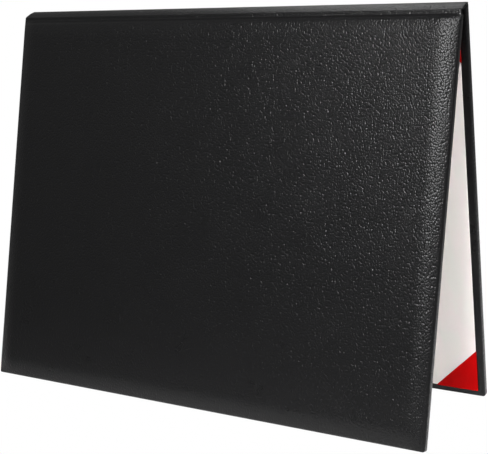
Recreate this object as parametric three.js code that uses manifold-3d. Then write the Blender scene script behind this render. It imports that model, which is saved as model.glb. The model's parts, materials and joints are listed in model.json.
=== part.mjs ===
// Padded diploma cover, standing as a tent with its fold at the top.
// Millimetres, +Z up, X along the cover's width, origin on the floor under the middle.
import * as THREE from 'three';
import { mergeVertices } from 'three/addons/utils/BufferGeometryUtils.js';
import Module from 'manifold-3d';

const wasm = await Module();
wasm.setup();

// Overall sizes. The height runs from a cover's fold line to its free edge.
const coverWidth = 292.1;
const coverHeight = 227;
const spineWidth = 9.6;

// Sheets, from the outside of a cover to its inside.
const leatherThickness = 0.5;
const boardThickness = 2;
const liningThickness = 0.5;
const ribbonThickness = 0.3;
const hingeStripThickness = 0.5;

// Padding: how far it rises over the cover's edge, and over what width.
const padRise = 4;
const padShoulder = 16;
const padSteps = 5;

// Widths on the inside of a cover.
const turnInWidth = 15;
const liningBorder = 4;
const liningTopMargin = 6;
const stripUnderLining = 14;
const ribbonLeg = 25.4;
const cornerRadius = 2;
const liningCornerRadius = 0.6;

// The bare groove between a fold line and the edge of the board beside it.
const boardSetback = 3.2;

// How the cover stands: the back cover's lean from upright, and the angle inside
// the fold between the back cover and the spine, which is also its closed angle.
const backLean = THREE.MathUtils.degToRad(8.2);
const backFoldAngle = THREE.MathUtils.degToRad(78);

// Clearances between sheets that are glued together, and at the fold lines.
const sheetClearance = 0.25;
const foldClearance = 0.15;

// How far cutting shapes reach past what they cut.
const reach = 20;

// Depths from the outer face at a cover's edge, growing towards the inside.
const boardOuter = leatherThickness + sheetClearance;
const boardInner = boardOuter + boardThickness;
const turnInOuter = boardInner + sheetClearance;
const turnInInner = turnInOuter + leatherThickness;
const liningOuter = turnInInner + sheetClearance;
const liningInner = liningOuter + liningThickness;
const ribbonOuter = liningInner + sheetClearance;
const ribbonInner = ribbonOuter + ribbonThickness;
const stripOuter = leatherThickness + sheetClearance;
const stripInner = stripOuter + hingeStripThickness;
const spineTurnInInner = stripOuter + leatherThickness;

// Places along a cover, from its fold line.
const boardInset = leatherThickness + sheetClearance;
const sheetOverEdge = boardSetback - sheetClearance - leatherThickness;
const stripEnd = liningTopMargin + stripUnderLining;
const turnInEdge = coverWidth / 2 - turnInWidth;
const stripEdge = turnInEdge - sheetClearance;
const liningEdge = coverWidth / 2 - liningBorder;
const liningBottom = coverHeight - liningBorder;

// The closed covers lie parallel, so the two closed fold angles add up to 180 degrees.
const frontFoldAngle = Math.PI - backFoldAngle;
const spineSlope = backLean + Math.PI / 2 - backFoldAngle;

// Heights of the fold lines, with both free edges on the floor. The front cover's
// lean follows from the height that the spine's slope leaves for it.
const ridgeHeight = coverHeight * Math.cos(backLean) + turnInInner * Math.sin(backLean);
const frontFoldHeight = ridgeHeight - spineWidth * Math.sin(spineSlope);
const edgeDiagonal = Math.hypot(coverHeight, turnInInner);
const frontLean = Math.atan2(turnInInner, coverHeight) + Math.acos(frontFoldHeight / edgeDiagonal);

const colours = {
  leather: '#1f1f21',
  board: '#8d7d68',
  foam: '#e9e4d6',
  lining: '#e6dfdb',
  ribbon: '#bf0a10',
};

function material(colour, roughness) {
  return new THREE.MeshStandardMaterial({ color: colour, roughness, metalness: 0 });
}

function solid(geometry) {
  const bare = geometry.clone();
  bare.deleteAttribute('normal');
  bare.deleteAttribute('uv');
  const merged = mergeVertices(bare);
  const mesh = new wasm.Mesh({
    numProp: 3,
    vertProperties: new Float32Array(merged.attributes.position.array),
    triVerts: new Uint32Array(merged.index.array),
  });
  return new wasm.Manifold(mesh);
}

function geometryOf(body) {
  const mesh = body.getMesh();
  const geometry = new THREE.BufferGeometry();
  geometry.setAttribute('position', new THREE.BufferAttribute(mesh.vertProperties, 3));
  geometry.setIndex(new THREE.BufferAttribute(mesh.triVerts, 1));
  geometry.computeVertexNormals();
  return geometry;
}

// A section of [along the cover, depth] points, extended evenly along X.
const alongX = new THREE.Matrix4().makeBasis(
  new THREE.Vector3(0, 1, 0),
  new THREE.Vector3(0, 0, 1),
  new THREE.Vector3(1, 0, 0),
);

function extended(points, width) {
  const shape = new THREE.Shape(points.map(([y, z]) => new THREE.Vector2(y, z)));
  const geometry = new THREE.ExtrudeGeometry(shape, { depth: width, bevelEnabled: false });
  geometry.applyMatrix4(alongX);
  geometry.translate(-width / 2, 0, 0);
  return solid(geometry);
}

// A flat plate between two depths, with the corners at its free edge rounded.
function plate(halfWidth, top, bottom, outer, inner, radius, topRadius) {
  const shape = new THREE.Shape();
  shape.moveTo(-halfWidth + topRadius, top);
  shape.lineTo(halfWidth - topRadius, top);
  if (topRadius > 0) shape.absarc(halfWidth - topRadius, top + topRadius, topRadius, -Math.PI / 2, 0);
  shape.lineTo(halfWidth, bottom - radius);
  shape.absarc(halfWidth - radius, bottom - radius, radius, 0, Math.PI / 2);
  shape.lineTo(-halfWidth + radius, bottom);
  shape.absarc(-halfWidth + radius, bottom - radius, radius, Math.PI / 2, Math.PI);
  shape.lineTo(-halfWidth, top + topRadius);
  if (topRadius > 0) shape.absarc(-halfWidth + topRadius, top + topRadius, topRadius, Math.PI, Math.PI * 3 / 2);
  const geometry = new THREE.ExtrudeGeometry(shape, {
    depth: inner - outer,
    bevelEnabled: false,
    curveSegments: padSteps,
  });
  geometry.translate(0, 0, outer);
  return solid(geometry);
}

function plan(inset) {
  const radius = cornerRadius - inset;
  return plate(coverWidth / 2 - inset, -reach, coverHeight - inset, -reach, reach, radius, 0);
}

// The crowned pad: a rectangle whose outer face curves down to its four edges.
function pad(inset, base, rise) {
  const left = -coverWidth / 2 + inset;
  const right = coverWidth / 2 - inset;
  const top = sheetOverEdge + inset;
  const bottom = coverHeight - inset;
  const shape = new THREE.Shape([
    new THREE.Vector2(left, top),
    new THREE.Vector2(right, top),
    new THREE.Vector2(right, bottom),
    new THREE.Vector2(left, bottom),
  ]);
  const geometry = new THREE.ExtrudeGeometry(shape, {
    depth: reach,
    bevelEnabled: true,
    bevelSegments: padSteps,
    bevelThickness: rise,
    bevelSize: padShoulder - inset,
    bevelOffset: inset - padShoulder,
  });
  geometry.translate(0, 0, base);
  const below = plate(coverWidth, -reach, coverHeight + reach, -reach, base, cornerRadius, 0);
  return solid(geometry).intersect(below).intersect(plan(inset));
}

// Where a sheet's mitred end lies at a given depth, so that two sheets meet on the
// plane halfway between them when their fold is shut to its closed angle.
function mitre(angle, depth) {
  return foldClearance / Math.sin(angle / 2) + depth / Math.tan(angle / 2);
}

// The sheet that runs from the fold over the board's edge and onto its inner face.
function sheetOverBoard(angle, outer, thickness, innerDepth, end) {
  const inner = outer + thickness;
  const face = sheetOverEdge;
  return [
    [mitre(angle, outer), outer],
    [face + thickness, outer],
    [face + thickness, innerDepth - thickness],
    [end, innerDepth - thickness],
    [end, innerDepth],
    [face, innerDepth],
    [face, inner],
    [mitre(angle, inner), inner],
  ];
}

function coverLeather(angle) {
  const envelope = extended([
    [mitre(angle, 0), 0],
    [coverHeight, 0],
    [coverHeight, turnInInner],
    [sheetOverEdge, turnInInner],
    [sheetOverEdge, spineTurnInInner],
    [mitre(angle, spineTurnInInner), spineTurnInInner],
  ], coverWidth);
  const hollow = extended([
    [-reach, leatherThickness],
    [coverHeight - leatherThickness, leatherThickness],
    [coverHeight - leatherThickness, turnInOuter],
    [sheetOverEdge + leatherThickness, turnInOuter],
    [sheetOverEdge + leatherThickness, stripOuter],
    [-reach, stripOuter],
  ], coverWidth - 2 * leatherThickness);
  const middle = (leatherThickness + stripOuter) / 2;
  const window = plate(turnInEdge, -reach, coverHeight - turnInWidth, middle, reach, liningCornerRadius, 0);
  return envelope.intersect(plan(0))
    .add(pad(0, 0, padRise))
    .subtract(hollow.intersect(plan(leatherThickness)))
    .subtract(pad(leatherThickness, leatherThickness, padRise))
    .subtract(window);
}

function coverFoam() {
  return pad(boardInset, leatherThickness, padRise - sheetClearance);
}

function coverBoard() {
  const radius = cornerRadius - boardInset;
  const edge = coverWidth / 2 - boardInset;
  return plate(edge, boardSetback, coverHeight - boardInset, boardOuter, boardInner, radius, 0);
}

function coverStrip(angle) {
  const section = sheetOverBoard(angle, stripOuter, hingeStripThickness, turnInInner, stripEnd);
  return extended(section, 2 * stripEdge);
}

// The lining panel lies on the turn-ins, and its stepped back fills the space between them.
function coverLining() {
  const face = plate(liningEdge, liningTopMargin, liningBottom, liningOuter, liningInner,
    liningCornerRadius, liningCornerRadius);
  const step = plate(stripEdge, stripEnd + sheetClearance, coverHeight - turnInWidth - sheetClearance,
    turnInOuter, liningOuter + liningThickness / 2, liningCornerRadius, liningCornerRadius);
  return face.add(step);
}

// A triangle over one corner of the lining, with its legs along the lining's edges.
function cornerRibbon(side, atTop) {
  const cornerX = side * liningEdge;
  const cornerY = atTop ? liningTopMargin : liningBottom;
  const intoY = atTop ? ribbonLeg : -ribbonLeg;
  const shape = new THREE.Shape([
    new THREE.Vector2(cornerX, cornerY),
    new THREE.Vector2(cornerX - side * ribbonLeg, cornerY),
    new THREE.Vector2(cornerX, cornerY + intoY),
  ]);
  const geometry = new THREE.ExtrudeGeometry(shape, { depth: ribbonThickness, bevelEnabled: false });
  geometry.translate(0, 0, ribbonOuter);
  return solid(geometry).intersect(
    plate(liningEdge, liningTopMargin, liningBottom, -reach, reach, liningCornerRadius, liningCornerRadius));
}

function acrossSpine(outer, inner, width) {
  return extended([
    [mitre(backFoldAngle, outer), outer],
    [spineWidth - mitre(frontFoldAngle, outer), outer],
    [spineWidth - mitre(frontFoldAngle, inner), inner],
    [mitre(backFoldAngle, inner), inner],
  ], width);
}

function spineLeather() {
  const hollow = plate(coverWidth / 2 - leatherThickness, -reach, spineWidth + reach,
    leatherThickness, stripOuter, 0, 0);
  const middle = (leatherThickness + stripOuter) / 2;
  const window = plate(turnInEdge, -reach, spineWidth + reach, middle, reach, 0, 0);
  return acrossSpine(0, spineTurnInInner, coverWidth).subtract(hollow).subtract(window);
}

function piece(name, body, look) {
  const mesh = new THREE.Mesh(geometryOf(body), look);
  mesh.name = name;
  return mesh;
}

const leatherRoughness = 0.42;
const satinRoughness = 0.5;
const paperRoughness = 0.9;

// Every cover is made flat: X across, Y from the fold line to the free edge, Z inwards.
const frontCover = new THREE.Group();
frontCover.add(
  piece('front_cover_leatherette', coverLeather(frontFoldAngle), material(colours.leather, leatherRoughness)),
  piece('front_foam_pad', coverFoam(), material(colours.foam, paperRoughness)),
  piece('front_board', coverBoard(), material(colours.board, paperRoughness)),
  piece('front_lining', coverLining(), material(colours.lining, satinRoughness)),
  piece('hinge_strip_front', coverStrip(frontFoldAngle), material(colours.leather, leatherRoughness)),
);

const spine = new THREE.Group();
spine.add(
  piece('spine_leatherette', spineLeather(), material(colours.leather, leatherRoughness)),
  piece('hinge_strip_spine', acrossSpine(stripOuter, stripInner, 2 * stripEdge),
    material(colours.leather, leatherRoughness)),
);

const backCover = new THREE.Group();
backCover.add(
  piece('back_cover_leatherette', coverLeather(backFoldAngle), material(colours.leather, leatherRoughness)),
  piece('back_foam_pad', coverFoam(), material(colours.foam, paperRoughness)),
  piece('back_board', coverBoard(), material(colours.board, paperRoughness)),
  piece('back_lining', coverLining(), material(colours.lining, satinRoughness)),
  piece('hinge_strip_back', coverStrip(backFoldAngle), material(colours.leather, leatherRoughness)),
);

const left = -1;
const right = 1;
// The back cover's group is turned about, so its own left is the standing cover's right.
for (const [name, side, atTop] of [
  ['corner_ribbon_top_left', right, true],
  ['corner_ribbon_top_right', left, true],
  ['corner_ribbon_bottom_left', right, false],
  ['corner_ribbon_bottom_right', left, false],
]) {
  backCover.add(piece(name, cornerRibbon(side, atTop), material(colours.ribbon, satinRoughness)));
}

// The ridge is at Y 0. The front cover hangs from the fold at the spine's front edge.
frontCover.position.set(0, -spineWidth * Math.cos(spineSlope), frontFoldHeight);
frontCover.rotation.set(-Math.PI / 2 - frontLean, 0, 0);
spine.position.set(0, 0, ridgeHeight);
spine.rotation.set(Math.PI + spineSlope, 0, 0);
backCover.position.set(0, 0, ridgeHeight);
backCover.rotation.set(Math.PI / 2 + backLean, 0, Math.PI);

const standing = new THREE.Group();
standing.add(frontCover, spine, backCover);

const diplomaCover = new THREE.Group();
diplomaCover.add(standing);
diplomaCover.updateMatrixWorld(true);
const bounds = new THREE.Box3().setFromObject(diplomaCover, true);
standing.position.set(0, -(bounds.min.y + bounds.max.y) / 2, -bounds.min.z);

export default diplomaCover;
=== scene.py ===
# %% [markdown]
# A padded diploma cover, standing as a tent
#
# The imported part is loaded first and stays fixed. It gives the places of the two folds and
# the leans of the two covers, so nothing here is placed by eye. Each visible piece is then
# modelled flat, in its own cover's frame, and carried to its place by one matrix.

# %% Load the frame
import json
import math

import bmesh
import bpy
import numpy as np
from mathutils import Matrix, Vector


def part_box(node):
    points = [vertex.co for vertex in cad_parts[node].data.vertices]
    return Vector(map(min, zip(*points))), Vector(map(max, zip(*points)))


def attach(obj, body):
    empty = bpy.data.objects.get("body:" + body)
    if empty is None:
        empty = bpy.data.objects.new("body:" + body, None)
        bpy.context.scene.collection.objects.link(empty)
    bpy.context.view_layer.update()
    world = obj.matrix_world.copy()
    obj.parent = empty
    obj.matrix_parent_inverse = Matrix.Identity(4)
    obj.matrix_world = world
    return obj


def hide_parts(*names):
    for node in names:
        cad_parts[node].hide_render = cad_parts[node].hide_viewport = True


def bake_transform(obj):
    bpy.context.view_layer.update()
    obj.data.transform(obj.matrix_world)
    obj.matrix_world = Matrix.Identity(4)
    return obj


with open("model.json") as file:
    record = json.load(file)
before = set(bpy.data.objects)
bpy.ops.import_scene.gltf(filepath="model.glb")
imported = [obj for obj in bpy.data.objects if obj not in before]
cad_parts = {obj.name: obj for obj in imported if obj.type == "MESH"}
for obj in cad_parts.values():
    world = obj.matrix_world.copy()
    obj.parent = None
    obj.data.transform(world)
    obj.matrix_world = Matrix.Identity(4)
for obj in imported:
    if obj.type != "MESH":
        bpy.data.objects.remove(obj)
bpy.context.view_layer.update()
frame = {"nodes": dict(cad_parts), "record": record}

# %% [markdown]
# The flat frame of a cover
#
# A cover is easiest to model lying flat: x along the fold, y from the fold line to the free
# edge, and z inwards from the outer face. The fold lines are the part's two joints, and the
# record's flat faces say which way each cover faces, so the matrices follow from those.

# %% Matrices from flat covers to the standing tent
record = frame["record"]
joint_places = {joint["name"]: Vector(joint["pos_m"]) for joint in record["behaviour"]["joints"]}
face_axes = {mount["name"]: Vector(mount["axis"]).normalized() for mount in record["mounts"]}

ridge = joint_places["back_fold"]
front_fold = joint_places["front_fold"]
front_inward = face_axes["certificate_face"]
back_inward = -face_axes["back_resting_face"]
to_the_right = Vector((1, 0, 0))


def flat_frame(origin, along, inward):
    """The matrix that carries a flat piece to a place, a direction down and a direction in."""
    across = along.cross(inward)
    matrix = Matrix((across, along, inward)).transposed().to_4x4()
    matrix.translation = origin
    return matrix


def down_the_cover(inward):
    along = inward.cross(to_the_right)
    return along if along.z < 0 else -along


front_frame = flat_frame(front_fold, down_the_cover(front_inward), front_inward)
back_frame = flat_frame(ridge, down_the_cover(back_inward), back_inward)

spine_along = (front_fold - ridge).normalized()
spine_inward = to_the_right.cross(spine_along)
spine_frame = flat_frame(ridge, spine_along, spine_inward)
spine_width = (front_fold - ridge).length
print("spine width", round(spine_width, 5))
print("spine faces inwards to", tuple(round(value, 3) for value in spine_inward))

# %% [markdown]
# Sizes of the covers
#
# Most of these are the sizes of the solids, in metres. Depths are counted from the outer
# face at a cover's edge, where the padding has sunk to nothing. The padding's shoulder is
# shorter and steeper than in the solids, and the corners are tighter, because the light on
# these small curves is what the eye takes for softness.

# %% Sizes
half_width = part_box("front_cover_leatherette")[1][0]
cover_height = 0.227
edge_depth = 0.0035
sheet = 0.0005
board_depth = 0.00075
turn_in_width = 0.015
corner_radius = 0.0013
hair = 0.0001

pad_top = 0.00245
pad_rise = 0.0034
pad_dome = 0.0005
pad_shoulder = 0.0115
rim_round = 0.0012
rim_share = 0.14
foot_start = 0.0021
steep_foot = 0.0028
steep_share = 0.6
gentle_foot = 0.012

lining_depth = 0.00375
lining_thickness = 0.0005
lining_border = 0.004
lining_top = 0.006
lining_round = 0.0002
ribbon_leg = 0.0254
print("cover", round(2 * half_width, 4), "by", cover_height)

# %% [markdown]
# A place that every sheet remembers
#
# Leather grain should follow the sheet, not the room. Each mesh keeps the flat place of each
# of its vertices in an attribute, and the materials read that, so the grain runs down both
# covers in the same way and turns with the sheet at the folds. Smooth shading alone would
# smear light over the thin edges of a sheet, so edges that turn sharply are marked as sharp.

# %% Helpers for meshes
PLACE = "flat_place"
sharp_turn = math.radians(38)


def finish_mesh(body, matrix, name, material):
    """Keeps the flat places, carries the mesh to its place and makes the object."""
    mesh = bpy.data.meshes.new(name)
    body.to_mesh(mesh)
    body.free()
    flat = np.zeros(len(mesh.vertices) * 3, np.float32)
    mesh.vertices.foreach_get("co", flat)
    if PLACE not in mesh.attributes:
        places = mesh.attributes.new(PLACE, "FLOAT_VECTOR", "POINT")
        places.data.foreach_set("vector", flat)
    mesh.transform(matrix)
    mesh.materials.append(material)
    mesh.shade_smooth()
    mesh.set_sharp_from_angle(angle=sharp_turn)
    piece = bpy.data.objects.new(name, mesh)
    bpy.context.collection.objects.link(piece)
    print(name, len(mesh.polygons), "faces")
    return piece


def add_block(body, low, high, rounding=0.0):
    """Adds a box between two corners to a bmesh, with its edges rounded if asked."""
    low_corner = Vector(low)
    high_corner = Vector(high)
    made = bmesh.ops.create_cube(body, size=1)
    bmesh.ops.scale(body, vec=high_corner - low_corner, verts=made["verts"])
    bmesh.ops.translate(body, vec=(low_corner + high_corner) / 2, verts=made["verts"])
    if rounding:
        edges = list({edge for vert in made["verts"] for edge in vert.link_edges})
        bmesh.ops.bevel(body, geom=edges, offset=rounding, offset_type="OFFSET", segments=2,
                        profile=0.5, affect="EDGES", material=-1)


print("grain attribute", PLACE)

# %% [markdown]
# Small steps that every material takes
#
# A material is a graph of nodes, and most of it is the same few steps: mix two colours,
# stretch a value to another range, turn a height into a bump. Each step has a short function
# here, so that the materials below read as decisions and not as wiring. A node group is a
# graph with named sockets of its own, which several materials can share.

# %% Helpers for materials
def new_group(name, inputs, outputs):
    group = bpy.data.node_groups.new(name, "ShaderNodeTree")
    for label, kind, value in inputs:
        socket = group.interface.new_socket(label, in_out="INPUT", socket_type=kind)
        if value is not None:
            socket.default_value = value
    for label, kind in outputs:
        group.interface.new_socket(label, in_out="OUTPUT", socket_type=kind)
    entry = group.nodes.new("NodeGroupInput")
    leave = group.nodes.new("NodeGroupOutput")
    return group, entry, leave


def new_material(name):
    material = bpy.data.materials.new(name)
    material.use_nodes = True
    return material, material.node_tree, material.node_tree.nodes["Principled BSDF"]


def place_output(tree):
    node = tree.nodes.new("ShaderNodeAttribute")
    node.attribute_name = PLACE
    return node.outputs["Vector"]


def math_node(tree, operation, first, second, clamp=False):
    """One sum on two values, each a number or another node's output."""
    node = tree.nodes.new("ShaderNodeMath")
    node.operation = operation
    node.use_clamp = clamp
    for socket, value in zip(node.inputs, (first, second)):
        if isinstance(value, (int, float)):
            socket.default_value = value
        else:
            tree.links.new(value, socket)
    return node.outputs[0]


def map_range(tree, value, low, high, to_low, to_high):
    node = tree.nodes.new("ShaderNodeMapRange")
    for socket, number in zip(list(node.inputs)[1:5], (low, high, to_low, to_high)):
        socket.default_value = number
    tree.links.new(value, node.inputs["Value"])
    return node.outputs["Result"]


def mix_colours(tree, amount, first, second):
    node = tree.nodes.new("ShaderNodeMix")
    node.data_type = "RGBA"
    shown = {socket.identifier: socket for socket in list(node.inputs) + list(node.outputs)}
    tree.links.new(amount, shown["Factor_Float"])
    shown["A_Color"].default_value = (*first, 1)
    shown["B_Color"].default_value = (*second, 1)
    return shown["Result_Color"]


def divide_place(tree, place, width, length):
    """The place counted in cells of a width and a length, which are node outputs."""
    size = tree.nodes.new("ShaderNodeCombineXYZ")
    tree.links.new(width, size.inputs[0])
    tree.links.new(length, size.inputs[1])
    tree.links.new(width, size.inputs[2])
    cells = tree.nodes.new("ShaderNodeVectorMath")
    cells.operation = "DIVIDE"
    tree.links.new(place, cells.inputs[0])
    tree.links.new(size.outputs[0], cells.inputs[1])
    return cells.outputs[0]


def noise(tree, place, scale, detail):
    node = tree.nodes.new("ShaderNodeTexNoise")
    node.inputs["Scale"].default_value = scale
    node.inputs["Detail"].default_value = detail
    tree.links.new(place, node.inputs["Vector"])
    return node


def bump(tree, height, strength, distance):
    node = tree.nodes.new("ShaderNodeBump")
    node.inputs["Strength"].default_value = strength
    node.inputs["Distance"].default_value = distance
    tree.links.new(height, node.inputs["Height"])
    return node.outputs["Normal"]


print("materials so far", len(bpy.data.materials))

# %% [markdown]
# Leather grain
#
# The covering is an embossed vinyl, with fine wrinkles about a millimetre wide that run down
# the cover. They could be drawn with waves, but cells stretched along the cover and warped a
# little break up the light as the real ones do. Each cell is a low dome, and a finer noise
# roughens it. The grain is a node group, because both covers, the fold and the inner strips
# share it, and it puts out only values: a height, a mask for painted shade between the domes,
# and broad patches.

# %% Leather grain group
def warped_cells(group, cells, warp):
    """Pushes the cells about with a slow noise, so that no two are alike."""
    push = noise(group, cells, scale=0.55, detail=2)
    centred = group.nodes.new("ShaderNodeVectorMath")
    centred.operation = "SUBTRACT"
    centred.inputs[1].default_value = (0.5, 0.5, 0.5)
    group.links.new(push.outputs["Color"], centred.inputs[0])
    scaled = group.nodes.new("ShaderNodeVectorMath")
    scaled.operation = "SCALE"
    group.links.new(centred.outputs[0], scaled.inputs[0])
    group.links.new(warp, scaled.inputs["Scale"])
    warped = group.nodes.new("ShaderNodeVectorMath")
    group.links.new(cells, warped.inputs[0])
    group.links.new(scaled.outputs[0], warped.inputs[1])
    return warped.outputs[0]


def leather_grain_group():
    group, entry, leave = new_group(
        "leather_grain",
        [("Place", "NodeSocketVector", None), ("Wrinkle Width", "NodeSocketFloat", 0.00085),
         ("Wrinkle Length", "NodeSocketFloat", 0.0012), ("Warp", "NodeSocketFloat", 0.15)],
        [("Height", "NodeSocketFloat"), ("Valley Shade", "NodeSocketFloat"), ("Patches", "NodeSocketFloat")],
    )
    cells = divide_place(group, entry.outputs["Place"], entry.outputs["Wrinkle Width"],
                         entry.outputs["Wrinkle Length"])
    warped = warped_cells(group, cells, entry.outputs["Warp"])

    pebbles = group.nodes.new("ShaderNodeTexVoronoi")
    pebbles.voronoi_dimensions = "2D"
    pebbles.inputs["Scale"].default_value = 1
    group.links.new(warped, pebbles.inputs["Vector"])
    fine = noise(group, warped, scale=2.3, detail=3)
    broad = noise(group, entry.outputs["Place"], scale=45, detail=3)

    steepness = math_node(group, "POWER", pebbles.outputs["Distance"], 2.0)
    hill = math_node(group, "SUBTRACT", 1.0, steepness)
    roughened = math_node(group, "MULTIPLY", fine.outputs["Fac"], 0.06)
    height = math_node(group, "ADD", hill, roughened)
    # Painted shade: this mask is highest between the domes, where the base colour is darkened.
    valley_shade_mask = math_node(group, "MULTIPLY", pebbles.outputs["Distance"], 1.3, clamp=True)
    group.links.new(height, leave.inputs["Height"])
    group.links.new(valley_shade_mask, leave.inputs["Valley Shade"])
    group.links.new(broad.outputs["Fac"], leave.inputs["Patches"])
    return group


leather_grain = leather_grain_group()
print("group", leather_grain.name)

# %% [markdown]
# Black leatherette
#
# The vinyl is near black with a satin sheen. What shows its wrinkles is the light on them and
# not their colour, so the base colour is only darkened a little between the domes, as painted
# shade, and the grain's height goes into a bump of less than two tenths of a millimetre. The
# roughness drifts over broad patches, as it does where hands have been.

# %% Leather material
hill_black = (0.0032, 0.0032, 0.0035)
# Painted shade: the darker black laid between the grain's domes.
valley_shade_black = (0.0018, 0.0018, 0.002)
emboss_depth = 0.00017


def leather_material():
    material, tree, shader = new_material("black_leatherette")
    grain = tree.nodes.new("ShaderNodeGroup")
    grain.node_tree = leather_grain
    tree.links.new(place_output(tree), grain.inputs["Place"])
    # Painted shade: the base colour darkens between the domes by the mask.
    colour = mix_colours(tree, grain.outputs["Valley Shade"], hill_black, valley_shade_black)
    tree.links.new(colour, shader.inputs["Base Color"])
    roughness = map_range(tree, grain.outputs["Patches"], 0.3, 0.7, 0.27, 0.31)
    tree.links.new(roughness, shader.inputs["Roughness"])
    embossed = bump(tree, grain.outputs["Height"], strength=1.0, distance=emboss_depth)
    tree.links.new(embossed, shader.inputs["Normal"])
    shader.inputs["Specular IOR Level"].default_value = 0.26
    return material


leatherette = leather_material()
print("material", leatherette.name)

# %% [markdown]
# Satin and ribbon
#
# The lining is an off-white satin with a faint watered pattern, and the corners are red satin
# ribbon. Both are woven too finely to show threads from here, so a thread bump gives only
# their soft sheen, and a stretched noise gives the watered look. One group serves both.

# %% Satin weave group
def satin_weave_group():
    group, entry, leave = new_group(
        "satin_weave",
        [("Place", "NodeSocketVector", None), ("Thread", "NodeSocketFloat", 0.0004),
         ("Water Size", "NodeSocketFloat", 0.02)],
        [("Threads", "NodeSocketFloat"), ("Water", "NodeSocketFloat")],
    )
    place = entry.outputs["Place"]
    thread = entry.outputs["Thread"]
    threads = group.nodes.new("ShaderNodeTexWave")
    threads.wave_type = "BANDS"
    threads.bands_direction = "Y"
    threads.inputs["Scale"].default_value = 0.5
    threads.inputs["Distortion"].default_value = 0.6
    group.links.new(divide_place(group, place, thread, thread), threads.inputs["Vector"])
    group.links.new(threads.outputs["Fac"], leave.inputs["Threads"])

    water_width = entry.outputs["Water Size"]
    water_length = math_node(group, "MULTIPLY", water_width, 3.0)
    water_cells = divide_place(group, place, water_width, water_length)
    water = noise(group, water_cells, scale=1.0, detail=3)
    water.inputs["Distortion"].default_value = 1.2
    group.links.new(water.outputs["Fac"], leave.inputs["Water"])
    return group


satin_weave = satin_weave_group()


def satin_material(name, light, dark, roughness, water_size, shine):
    material, tree, shader = new_material(name)
    weave = tree.nodes.new("ShaderNodeGroup")
    weave.node_tree = satin_weave
    weave.inputs["Water Size"].default_value = water_size
    tree.links.new(place_output(tree), weave.inputs["Place"])
    water = weave.outputs["Water"]
    amount = map_range(tree, water, 0.35, 0.65, 0.0, 1.0)
    tree.links.new(mix_colours(tree, amount, light, dark), shader.inputs["Base Color"])
    sheen = map_range(tree, water, 0.3, 0.7, roughness, roughness + 0.1)
    tree.links.new(sheen, shader.inputs["Roughness"])
    threads = bump(tree, weave.outputs["Threads"], strength=0.15, distance=0.00005)
    tree.links.new(threads, shader.inputs["Normal"])
    shader.inputs["Specular IOR Level"].default_value = shine
    return material


rosy_white = (0.85, 0.785, 0.772)
creamy_white = (0.815, 0.805, 0.765)
bright_red = (0.42, 0.0005, 0.0008)
deep_red = (0.36, 0.0004, 0.0006)
white_satin = satin_material("white_satin", rosy_white, creamy_white, roughness=0.5, water_size=0.012,
                             shine=0.4)
red_ribbon = satin_material("red_ribbon", bright_red, deep_red, roughness=0.6, water_size=0.008, shine=0.04)
print("materials", white_satin.name, red_ribbon.name)

# %% [markdown]
# Board and foam
#
# The greyboard and the foam are inside, where nobody looks. They still get a true colour and
# a fine fibre or cell pattern, because someone may take the cover apart. A plain noise in
# Object coordinates is enough for both.

# %% Hidden materials
def plain_stuff(name, light, dark, grain_size, roughness):
    material, tree, shader = new_material(name)
    coordinates = tree.nodes.new("ShaderNodeTexCoord")
    fibres = noise(tree, coordinates.outputs["Object"], scale=1 / grain_size, detail=4)
    amount = map_range(tree, fibres.outputs["Fac"], 0.3, 0.7, 0.0, 1.0)
    tree.links.new(mix_colours(tree, amount, light, dark), shader.inputs["Base Color"])
    rough_face = bump(tree, fibres.outputs["Fac"], strength=0.4, distance=0.0002)
    tree.links.new(rough_face, shader.inputs["Normal"])
    shader.inputs["Roughness"].default_value = roughness
    return material


light_board = (0.30, 0.24, 0.17)
dark_board = (0.22, 0.17, 0.11)
light_foam = (0.82, 0.79, 0.70)
dark_foam = (0.70, 0.66, 0.56)
greyboard = plain_stuff("greyboard", light_board, dark_board, grain_size=0.004, roughness=0.9)
foam_stuff = plain_stuff("foam", light_foam, dark_foam, grain_size=0.002, roughness=0.95)
print("materials", greyboard.name, foam_stuff.name)

# %% [markdown]
# The padded face
#
# The foam under the leatherette makes a low cushion: flat in the middle, rolling off to
# nothing at the three free edges, and rising out of the groove at the fold in a softer slope.
# It could be a modifier on a flat sheet, but one formula for the rise serves the leatherette
# and the foam alike, so they keep their gap everywhere.

# %% The rise of the padding
def rolled_rim(distance, width):
    """A face that rolls off towards its edge, with a small round at the edge itself."""
    roll = np.clip(distance / width, 0, 1)
    edge = np.clip(distance / rim_round, 0, 1)
    rolled = 1 - (1 - roll) ** 2
    rounded = np.sqrt(1 - (1 - edge) ** 2)
    return (1 - rim_share) * rolled + rim_share * rounded


def soft_foot(distance):
    """A steep rise out of the groove, and then a gentle slope up to the full height."""
    steep = np.clip(distance / steep_foot, 0, 1)
    gentle = np.clip(distance / gentle_foot, 0, 1)
    steep_rise = steep ** 2 * (3 - 2 * steep)
    gentle_rise = 1 - (1 - gentle) ** 2
    return steep_share * steep_rise + (1 - steep_share) * gentle_rise


def padding_rise(x, y):
    sides = rolled_rim(half_width - abs(x), pad_shoulder)
    free_edge = rolled_rim(cover_height - y, pad_shoulder)
    fold_edge = soft_foot(y - foot_start)
    across = (x / half_width) ** 2
    down = ((2 * y - cover_height) / cover_height) ** 2
    full_rise = pad_rise + pad_dome * (1 - across) * (1 - down)
    return float(sides * free_edge * fold_edge * full_rise)


print("rise in the middle", padding_rise(0.0, cover_height / 2))

# %% [markdown]
# The wrapped cover
#
# One sheet goes over the padding, round the edges and back onto the inside. A box with a
# bevel would lose the turned-in rim, so it is made as it is folded: a grid is shaped into the
# padded face, its three free edges are extruded down the edge, round it and inwards, and the
# sheet is then given its thickness. Rows are closer together near the edges, where it curves.

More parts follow.
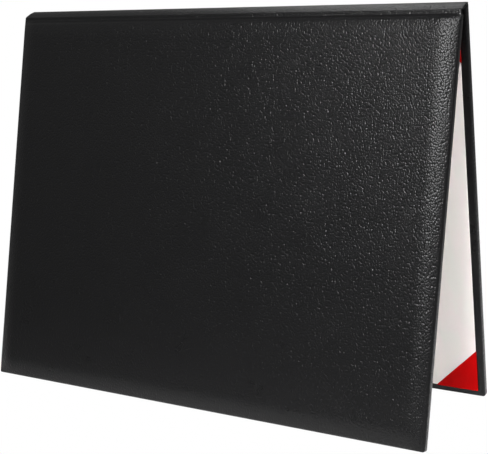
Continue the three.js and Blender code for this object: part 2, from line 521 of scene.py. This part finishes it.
# %% Rows and rings of a wrapped cover
columns_across = 121
rows_down = 101
flange_start = 0.0015
edge_rows = (0.0010, 0.0020)
edge_round = 0.0006
edge_round_steps = 3


def crowded(count):
    """Places from -1 to 1, closer together near both ends."""
    even = np.linspace(-1, 1, count)
    return np.sign(even) * (1 - (1 - np.abs(even)) ** 1.7)


def face_rows():
    across = crowded(columns_across) * half_width
    flange = np.array([flange_start, foot_start, pad_top])
    below = (crowded(rows_down - len(flange) + 1)[1:] + 1) / 2
    down = np.concatenate([flange, pad_top + below * (cover_height - pad_top)])
    return across, down


def grid_of(across, down):
    """A flat grid whose rows lie at the given places."""
    body = bmesh.new()
    bmesh.ops.create_grid(body, x_segments=len(across) - 1, y_segments=len(down) - 1, size=1)
    for vert in body.verts:
        column = round((vert.co.x + 1) / 2 * (len(across) - 1))
        row = round((vert.co.y + 1) / 2 * (len(down) - 1))
        vert.co = (across[column], down[row], 0)
    return body


def cover_rings():
    """Inset and depth of each row that goes round the edge, from the face to the turn-in."""
    rings = [(0, depth) for depth in edge_rows]
    rings.append((0, edge_depth - edge_round))
    for step in range(1, edge_round_steps + 1):
        angle = math.pi / 2 * step / edge_round_steps
        inset = edge_round * (1 - math.cos(angle))
        depth = edge_depth - edge_round * (1 - math.sin(angle))
        rings.append((inset, depth))
    rings.append((turn_in_width / 3, edge_depth))
    rings.append((turn_in_width, edge_depth))
    return rings


print("rings round the edge", len(cover_rings()))

# %% [markdown]
# From the grid to a folded sheet
#
# Each ring is extruded from the one before it and then drawn inwards and down, as a sheet is
# pulled round a board. After that the corners are rounded, the face is lifted by the padding,
# and solidify gives the sheet its thickness towards the board.

# %% Shaping the sheet
def free_edges(body):
    """The grid's border on its three free sides, from the top of the padding down."""
    border = [edge for edge in body.edges if edge.is_boundary]
    return [edge for edge in border if max(vert.co.y for vert in edge.verts) > pad_top + 1e-6]


def next_ring(body, ring):
    """Extrudes a row of edges, and gives the new vertices and the new row."""
    grown = bmesh.ops.extrude_edge_only(body, edges=ring)["geom"]
    verts = [item for item in grown if isinstance(item, bmesh.types.BMVert)]
    new_verts = set(verts)
    edges = [item for item in grown if isinstance(item, bmesh.types.BMEdge) and item.is_boundary]
    outer = [edge for edge in edges if all(vert in new_verts for vert in edge.verts)]
    return verts, outer


def wrap_body():
    body = grid_of(*face_rows())
    ring = free_edges(body)
    before = 0
    for inset, depth in cover_rings():
        verts, ring = next_ring(body, ring)
        shrink_x = (half_width - inset) / (half_width - before)
        shrink_y = (cover_height - inset - pad_top) / (cover_height - before - pad_top)
        for vert in verts:
            vert.co.x *= shrink_x
            vert.co.y = pad_top + (vert.co.y - pad_top) * shrink_y
            vert.co.z = depth
        before = inset
    return body


def round_corners(body):
    """Draws the square corners at the free edge onto an arc."""
    centre_x = half_width - corner_radius
    centre_y = cover_height - corner_radius
    for vert in body.verts:
        dx = abs(vert.co.x) - centre_x
        dy = vert.co.y - centre_y
        if dx > 0 and dy > 0:
            share = max(dx, dy) / math.hypot(dx, dy)
            vert.co.x = math.copysign(centre_x + dx * share, vert.co.x)
            vert.co.y = centre_y + dy * share


def lift_padding(body):
    for vert in body.verts:
        if vert.co.z == 0:
            vert.co.z = -padding_rise(vert.co.x, vert.co.y)


def turn_outwards(body):
    """Turns the sheet's faces away from the inside of the cover."""
    centre = Vector((0, cover_height / 2, 0))
    bmesh.ops.recalc_face_normals(body, faces=body.faces[:])
    body.faces.ensure_lookup_table()
    middle = min(body.faces, key=lambda face: (face.calc_center_median() - centre).length)
    if middle.normal.z > 0:
        bmesh.ops.reverse_faces(body, faces=body.faces[:])


print("turned in by", turn_in_width)

# %% [markdown]
# The ends at the fold
#
# Beside the fold the sheet runs on into the spine, and its turned-in layers run on with it.
# They lie in the groove and hardly show, so they are plain blocks with softened edges: one
# across the cover behind the fold, and at each side a flat layer with the bend at its edge.

# %% Wrapped covers
end_inset = 0.0003
end_depth = 0.0004
bend_depth = 0.0002
turn_in_start = 0.0018


def add_folded_end(body, side, layer_start, bend_start, end):
    """The sheet turned in at one side of the fold: a flat layer, and the bend at the edge."""
    edge = side * (half_width - hair)
    layer_end = side * (half_width - turn_in_width)
    low, high = sorted((edge, layer_end))
    inner = board_depth + sheet
    add_block(body, (low, layer_start, board_depth), (high, end, inner), hair)
    bend_end = side * (half_width - sheet)
    low, high = sorted((edge, bend_end))
    add_block(body, (low, bend_start, bend_depth), (high, end, inner), hair)


def wrapped_cover(name, body_name, matrix, node):
    body = wrap_body()
    round_corners(body)
    lift_padding(body)
    turn_outwards(body)
    bmesh.ops.solidify(body, geom=body.faces[:], thickness=sheet)
    end_start = pad_top + hair
    end_stop = end_start + sheet
    low = (-half_width + end_inset, end_start, end_depth)
    high = (half_width - end_inset, end_stop, edge_depth - hair)
    add_block(body, low, high, hair)
    for side in (-1, 1):
        add_folded_end(body, side, turn_in_start, flange_start, end_stop)
    piece = finish_mesh(body, matrix, name, leatherette)
    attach(piece, body_name)
    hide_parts(node)


wrapped_cover("front_wrap", "front_cover", front_frame, "front_cover_leatherette")
wrapped_cover("back_wrap", "back_cover", back_frame, "back_cover_leatherette")

# %% [markdown]
# Foam pads
#
# Nobody sees the foam, but it fills the padding, so it has the same rise with a small gap.
# It is the same kind of grid, inset by the sheet, closed by extruding its border down to the
# board and filling the bottom with one face.

# %% Foam pads
foam_gap = 0.00035
foam_setback = 0.003
foam_columns = 61
foam_rows = 51


def foam_pad(name, body_name, matrix, node):
    inset = board_depth + foam_gap
    top = foot_start + foam_setback
    across = crowded(foam_columns) * (half_width - inset)
    down = top + (crowded(foam_rows) + 1) / 2 * (cover_height - inset - top)
    body = grid_of(across, down)
    for vert in body.verts:
        rise = padding_rise(vert.co.x, vert.co.y)
        vert.co.z = -max(rise - sheet - foam_gap, -sheet + hair)
    border = [edge for edge in body.edges if edge.is_boundary]
    verts, rim = next_ring(body, border)
    for vert in verts:
        vert.co.z = sheet + hair
    bmesh.ops.contextual_create(body, geom=rim)
    bmesh.ops.recalc_face_normals(body, faces=body.faces[:])
    piece = finish_mesh(body, matrix, name, foam_stuff)
    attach(piece, body_name)
    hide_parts(node)


foam_pad("front_foam", "front_cover", front_frame, "front_foam_pad")
foam_pad("back_foam", "back_cover", back_frame, "back_foam_pad")

# %% [markdown]
# The sheet across the folds
#
# Between the covers the leatherette runs on over the spine. It is two bent sheets that meet in
# the middle of the spine, and each bends smoothly between the spine and one cover. A section is
# drawn across the fold, an arc between two short flats, and a grid is laid along it.

# %% Section across a fold
fold_radius = 0.0005
spine_bulge = 0.00035
bend_steps = 8
spine_steps = 6
fold_columns = 41
# Rows of the sheet's end under the cover's edge: distance from the fold, and depth.
tucked_rows = ((0.0022, 0.00012), (0.0018, 0.00006), (0.0015, 0.0))
fold_reach = tucked_rows[0][0]


def fold_section(cover_matrix, fold_place, towards_spine):
    """World points of the sheet from the cover's groove, round the fold, to the spine's middle."""
    along = cover_matrix.col[1].to_3d()
    inward = cover_matrix.col[2].to_3d()
    points = [fold_place + along * distance + inward * depth for distance, depth in tucked_rows]

    angle = along.angle(towards_spine)
    tangent = fold_radius / math.tan(angle / 2)
    bisector = (along + towards_spine).normalized()
    centre = fold_place + bisector * (fold_radius / math.sin(angle / 2))
    arc_start = fold_place + along * tangent - centre
    arc_end = fold_place + towards_spine * tangent - centre
    for step in range(bend_steps + 1):
        radius = arc_start.slerp(arc_end, step / bend_steps).normalized() * fold_radius
        points.append(centre + radius)

    flat_length = spine_width / 2 - tangent
    for step in range(1, spine_steps + 1):
        share = step / spine_steps
        lift = spine_bulge * math.sin(math.pi / 2 * share)
        on_the_spine = fold_place + towards_spine * (tangent + flat_length * share)
        points.append(on_the_spine - spine_inward * lift)
    return points


print("points in a section", len(fold_section(back_frame, ridge, spine_along)))

# %% Fold sheets
def fold_sheet(name, cover_matrix, fold_place, towards_spine):
    points = fold_section(cover_matrix, fold_place, towards_spine)
    runs = [0.0]
    for before, after in zip(points, points[1:]):
        runs.append(runs[-1] + (after - before).length)
    across = crowded(fold_columns) * (half_width - hair)
    body = grid_of(across, np.arange(len(points), dtype=float))
    place = body.verts.layers.float_vector.new(PLACE)
    for vert in body.verts:
        row = round(vert.co.y)
        vert[place] = (vert.co.x, fold_reach - runs[row], 0)
        vert.co = (vert.co.x, points[row].y, points[row].z)
    bmesh.ops.recalc_face_normals(body, faces=body.faces[:])
    outward = -(cover_matrix.col[2].to_3d() + spine_inward)
    if sum((face.normal for face in body.faces), Vector()).dot(outward) < 0:
        bmesh.ops.reverse_faces(body, faces=body.faces[:])
    bmesh.ops.solidify(body, geom=body.faces[:], thickness=sheet)
    piece = finish_mesh(body, Matrix.Identity(4), name, leatherette)
    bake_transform(piece)
    return piece


front_fold_sheet = fold_sheet("front_fold_sheet", front_frame, front_fold, -spine_along)
fold_sheet("back_fold_sheet", back_frame, ridge, spine_along)
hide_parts("spine_leatherette")

# %% [markdown]
# Turned-in ends of the spine
#
# At each end of the spine the leatherette is folded back inside, as a double thickness. The
# ends ride on the spine and stop short of both folds, so they stay clear when a cover turns.

# %% Spine ends
end_from_ridge = 0.0020
end_from_front = 0.0014


def spine_ends():
    body = bmesh.new()
    last = spine_width - end_from_front
    for side in (-1, 1):
        add_folded_end(body, side, end_from_ridge, end_from_ridge, last)
    piece = finish_mesh(body, spine_frame, "spine_ends", leatherette)
    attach(piece, "spine")


spine_ends()

# %% [markdown]
# Linings
#
# Each lining is a thin card covered in satin, glued over the turned-in leatherette so that a
# narrow black border shows all round. Its edge is softened where the satin turns over the
# card. The satin's pattern is all in its material, so a rounded block is enough.

# %% Linings
def lining_panel(name, body_name, matrix, node):
    body = bmesh.new()
    edge = half_width - lining_border
    low = (-edge, lining_top, lining_depth)
    high = (edge, cover_height - lining_border, lining_depth + lining_thickness)
    add_block(body, low, high, lining_round)
    piece = finish_mesh(body, matrix, name, white_satin)
    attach(piece, body_name)
    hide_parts(node)


lining_panel("front_lining_panel", "front_cover", front_frame, "front_lining")
lining_panel("back_lining_panel", "back_cover", back_frame, "back_lining")

# %% [markdown]
# Ribbon corners
#
# A ribbon crosses each corner of the back lining and is tucked behind it, to hold a
# certificate. A triangle could be typed in as three points, but cutting a square plate along
# its diagonal keeps its two outer edges on the lining's edges whatever the sizes. Its edges
# are then bevelled, which gives the thin fold along the long side.

# %% Ribbon corners
ribbon_gap = 0.00005
ribbon_thickness = 0.0004
ribbon_wrap = 0.00025
ribbon_bevel = 0.00015


def add_ribbon_plate(body, side, at_top):
    """A square plate over one corner of the lining, cut along its diagonal."""
    edge_x = side * (half_width - lining_border + ribbon_wrap)
    edge_y = lining_top - ribbon_wrap if at_top else cover_height - lining_border + ribbon_wrap
    into_x = -side * ribbon_leg
    into_y = ribbon_leg if at_top else -ribbon_leg
    low_x, high_x = sorted((edge_x, edge_x + into_x))
    low_y, high_y = sorted((edge_y, edge_y + into_y))
    top = lining_depth + lining_thickness + ribbon_gap + ribbon_thickness
    add_block(body, (low_x, low_y, lining_depth + hair), (high_x, high_y, top))
    tip = Vector((edge_x + into_x, edge_y, 0))
    normal = Vector((into_x, into_y, 0)).normalized()
    everything = body.verts[:] + body.edges[:] + body.faces[:]
    cut = bmesh.ops.bisect_plane(body, geom=everything, dist=1e-6, plane_co=tip, plane_no=normal,
                                 clear_outer=True)
    rim = [item for item in cut["geom_cut"] if isinstance(item, bmesh.types.BMEdge)]
    bmesh.ops.edgeloop_fill(body, edges=rim)


def ribbon_corner(name, side, at_top):
    body = bmesh.new()
    add_ribbon_plate(body, side, at_top)
    bmesh.ops.bevel(body, geom=body.edges[:], offset=ribbon_bevel, offset_type="OFFSET", segments=2,
                    profile=0.5, affect="EDGES", material=-1)
    bmesh.ops.recalc_face_normals(body, faces=body.faces[:])
    piece = finish_mesh(body, back_frame, name + "_satin", red_ribbon)
    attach(piece, "back_cover")
    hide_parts(name)


for end_name, at_top in (("top", True), ("bottom", False)):
    for side_name, side in (("left", 1), ("right", -1)):
        ribbon_corner("corner_ribbon_" + end_name + "_" + side_name, side, at_top)

# %% [markdown]
# The nodes that stay
#
# The boards and the inner hinge strips already have their true shape, so only their
# materials change. They carry no flat place, so their leather reads Object coordinates: x, and
# the sum of the other two, which grows steadily along all three strips.

# %% Materials on the kept nodes
def strip_leather():
    material = leatherette.copy()
    material.name = "strip_leatherette"
    tree = material.node_tree
    coordinates = tree.nodes.new("ShaderNodeTexCoord")
    parts = tree.nodes.new("ShaderNodeSeparateXYZ")
    tree.links.new(coordinates.outputs["Object"], parts.inputs[0])
    flat = tree.nodes.new("ShaderNodeCombineXYZ")
    tree.links.new(parts.outputs["X"], flat.inputs["X"])
    tree.links.new(math_node(tree, "ADD", parts.outputs["Y"], parts.outputs["Z"]), flat.inputs["Y"])
    grain = next(node for node in tree.nodes if node.type == "GROUP")
    tree.links.new(flat.outputs[0], grain.inputs["Place"])
    return material


inner_leather = strip_leather()
kept = {
    "front_board": greyboard,
    "back_board": greyboard,
    "hinge_strip_front": inner_leather,
    "hinge_strip_spine": inner_leather,
    "hinge_strip_back": inner_leather,
}
for node_name, material in kept.items():
    for material_slot in frame["nodes"][node_name].material_slots:
        material_slot.material = material
print("kept nodes", len(kept))

# %% [markdown]
# Floor and backdrop
#
# The photograph is a cut-out on pure white. The floor and the world show white to the camera,
# by the Light Path node, and to everything else they are a plain pale floor and a soft grey
# studio. The studio is brighter in front and above than behind, because a black cover is seen
# mostly by what it mirrors: the padded face mirrors the front, and the spine what is behind.

# %% Floor and world
def white_to_camera(tree, usual, white):
    """Shows the camera the white output, and everything else the usual one."""
    path = tree.nodes.new("ShaderNodeLightPath")
    mix = tree.nodes.new("ShaderNodeMixShader")
    tree.links.new(path.outputs["Is Camera Ray"], mix.inputs[0])
    tree.links.new(usual, mix.inputs[1])
    tree.links.new(white, mix.inputs[2])
    return mix.outputs[0]


def floor_material():
    material, tree, shader = new_material("floor_white")
    shader.inputs["Base Color"].default_value = (0.8, 0.8, 0.8, 1)
    shader.inputs["Roughness"].default_value = 0.9
    glow = tree.nodes.new("ShaderNodeEmission")
    glow.inputs["Color"].default_value = (1, 1, 1, 1)
    glow.inputs["Strength"].default_value = 1
    surface = white_to_camera(tree, shader.outputs[0], glow.outputs[0])
    tree.links.new(surface, tree.nodes["Material Output"].inputs["Surface"])
    return material


def make_floor():
    body = bmesh.new()
    bmesh.ops.create_grid(body, x_segments=1, y_segments=1, size=3)
    mesh = bpy.data.meshes.new("floor")
    body.to_mesh(mesh)
    body.free()
    mesh.materials.append(floor_material())
    floor = bpy.data.objects.new("floor", mesh)
    bpy.context.collection.objects.link(floor)


def make_world(in_front, behind, overhead):
    world = bpy.data.worlds.new("studio")
    bpy.context.scene.world = world
    world.use_nodes = True
    tree = world.node_tree
    studio = tree.nodes["Background"]
    studio.inputs["Color"].default_value = (1, 1, 1, 1)
    direction = tree.nodes.new("ShaderNodeTexCoord")
    parts = tree.nodes.new("ShaderNodeSeparateXYZ")
    tree.links.new(direction.outputs["Generated"], parts.inputs[0])
    front_to_back = map_range(tree, parts.outputs["Y"], -0.3, 0.4, in_front, behind)
    upwards = map_range(tree, parts.outputs["Z"], 0.0, 0.5, 1.0, overhead)
    level = math_node(tree, "MULTIPLY", front_to_back, upwards)
    tree.links.new(level, studio.inputs["Strength"])
    white = tree.nodes.new("ShaderNodeBackground")
    white.inputs["Strength"].default_value = 1
    white.inputs["Color"].default_value = (1, 1, 1, 1)
    surface = white_to_camera(tree, studio.outputs[0], white.outputs[0])
    tree.links.new(surface, tree.nodes["World Output"].inputs["Surface"])


make_floor()
make_world(in_front=0.265, behind=0.12, overhead=1.7)
print("world", bpy.context.scene.world.name)

# %% [markdown]
# Lamps
#
# The light is a soft box high in front of the cover, a little to its right, whose reflection
# lies along the right shoulder of the padding and fades to the left. A second one from the
# right lights the lining, and a small one above and behind lights the spine. Their beams are
# narrow, so each lights its own part and the photograph's deep blacks stay black.

# %% Lamps
cover_middle = (0.05, 0.0, 0.12)
lining_middle = (0.145, 0.03, 0.1)
face_right = (0.11, 0.0, 0.13)
lamp_distance = 1.6


def around(azimuth, elevation):
    """A place seen from the cover at an angle from its front, turning to its right, and a height."""
    turn = math.radians(azimuth)
    rise = math.radians(elevation)
    sideways = lamp_distance * math.sin(turn) * math.cos(rise)
    forwards = -lamp_distance * math.cos(turn) * math.cos(rise)
    upwards = lamp_distance * math.sin(rise)
    return (cover_middle[0] + sideways, forwards, cover_middle[2] + upwards)


def soft_box(name, place, target, width, height, power, spread):
    lamp = bpy.data.lights.new(name, "AREA")
    lamp.shape = "RECTANGLE"
    lamp.size = width
    lamp.size_y = height
    lamp.energy = power
    lamp.spread = math.radians(spread)
    holder = bpy.data.objects.new(name, lamp)
    bpy.context.collection.objects.link(holder)
    holder.location = place
    holder.rotation_euler = (Vector(target) - Vector(place)).to_track_quat("-Z", "Y").to_euler()
    print(name, power, "W")


soft_box("front_box", around(8, 31), face_right, width=0.35, height=0.4, power=0.8, spread=28)
soft_box("lining_box", around(65, 48), lining_middle, width=0.45, height=0.45, power=0.84, spread=20)
soft_box("top_box", around(-150, 46), face_right, width=0.35, height=0.25, power=0.2, spread=60)

# %% [markdown]
# Camera
#
# The place, the direction and the lens come from a solve on the outline of the cover in the
# photograph, with the cover's real width as its scale. The photograph is a crop whose middle
# lies a little above the lens's axis, which is the small shift.

# %% Camera
photo_width = 488
focal_pixels = 1149.3
axis_below_middle = 13
camera_place = Vector((0.36102, -0.55858, 0.24523))
camera_yaw = math.radians(31.894)
camera_pitch = math.radians(13.177)
camera_roll = math.radians(-2.456)


def make_camera():
    data = bpy.data.cameras.new("camera")
    data.sensor_width = 36
    data.lens = focal_pixels * data.sensor_width / photo_width
    data.shift_y = axis_below_middle / photo_width
    camera = bpy.data.objects.new("camera", data)
    bpy.context.collection.objects.link(camera)
    level = Vector((math.cos(camera_yaw), math.sin(camera_yaw), 0))
    ahead = Vector((-math.sin(camera_yaw), math.cos(camera_yaw), 0))
    forward = ahead * math.cos(camera_pitch) - Vector((0, 0, math.sin(camera_pitch)))
    upright = level.cross(forward)
    across = level * math.cos(camera_roll) + upright * math.sin(camera_roll)
    up = upright * math.cos(camera_roll) - level * math.sin(camera_roll)
    turned = Matrix((across, up, -forward)).transposed().to_4x4()
    turned.translation = camera_place
    camera.matrix_world = turned
    bpy.context.scene.camera = camera
    return data


camera_data = make_camera()
bpy.context.scene.view_settings.view_transform = "Standard"
print("lens", round(camera_data.lens, 1), "mm")
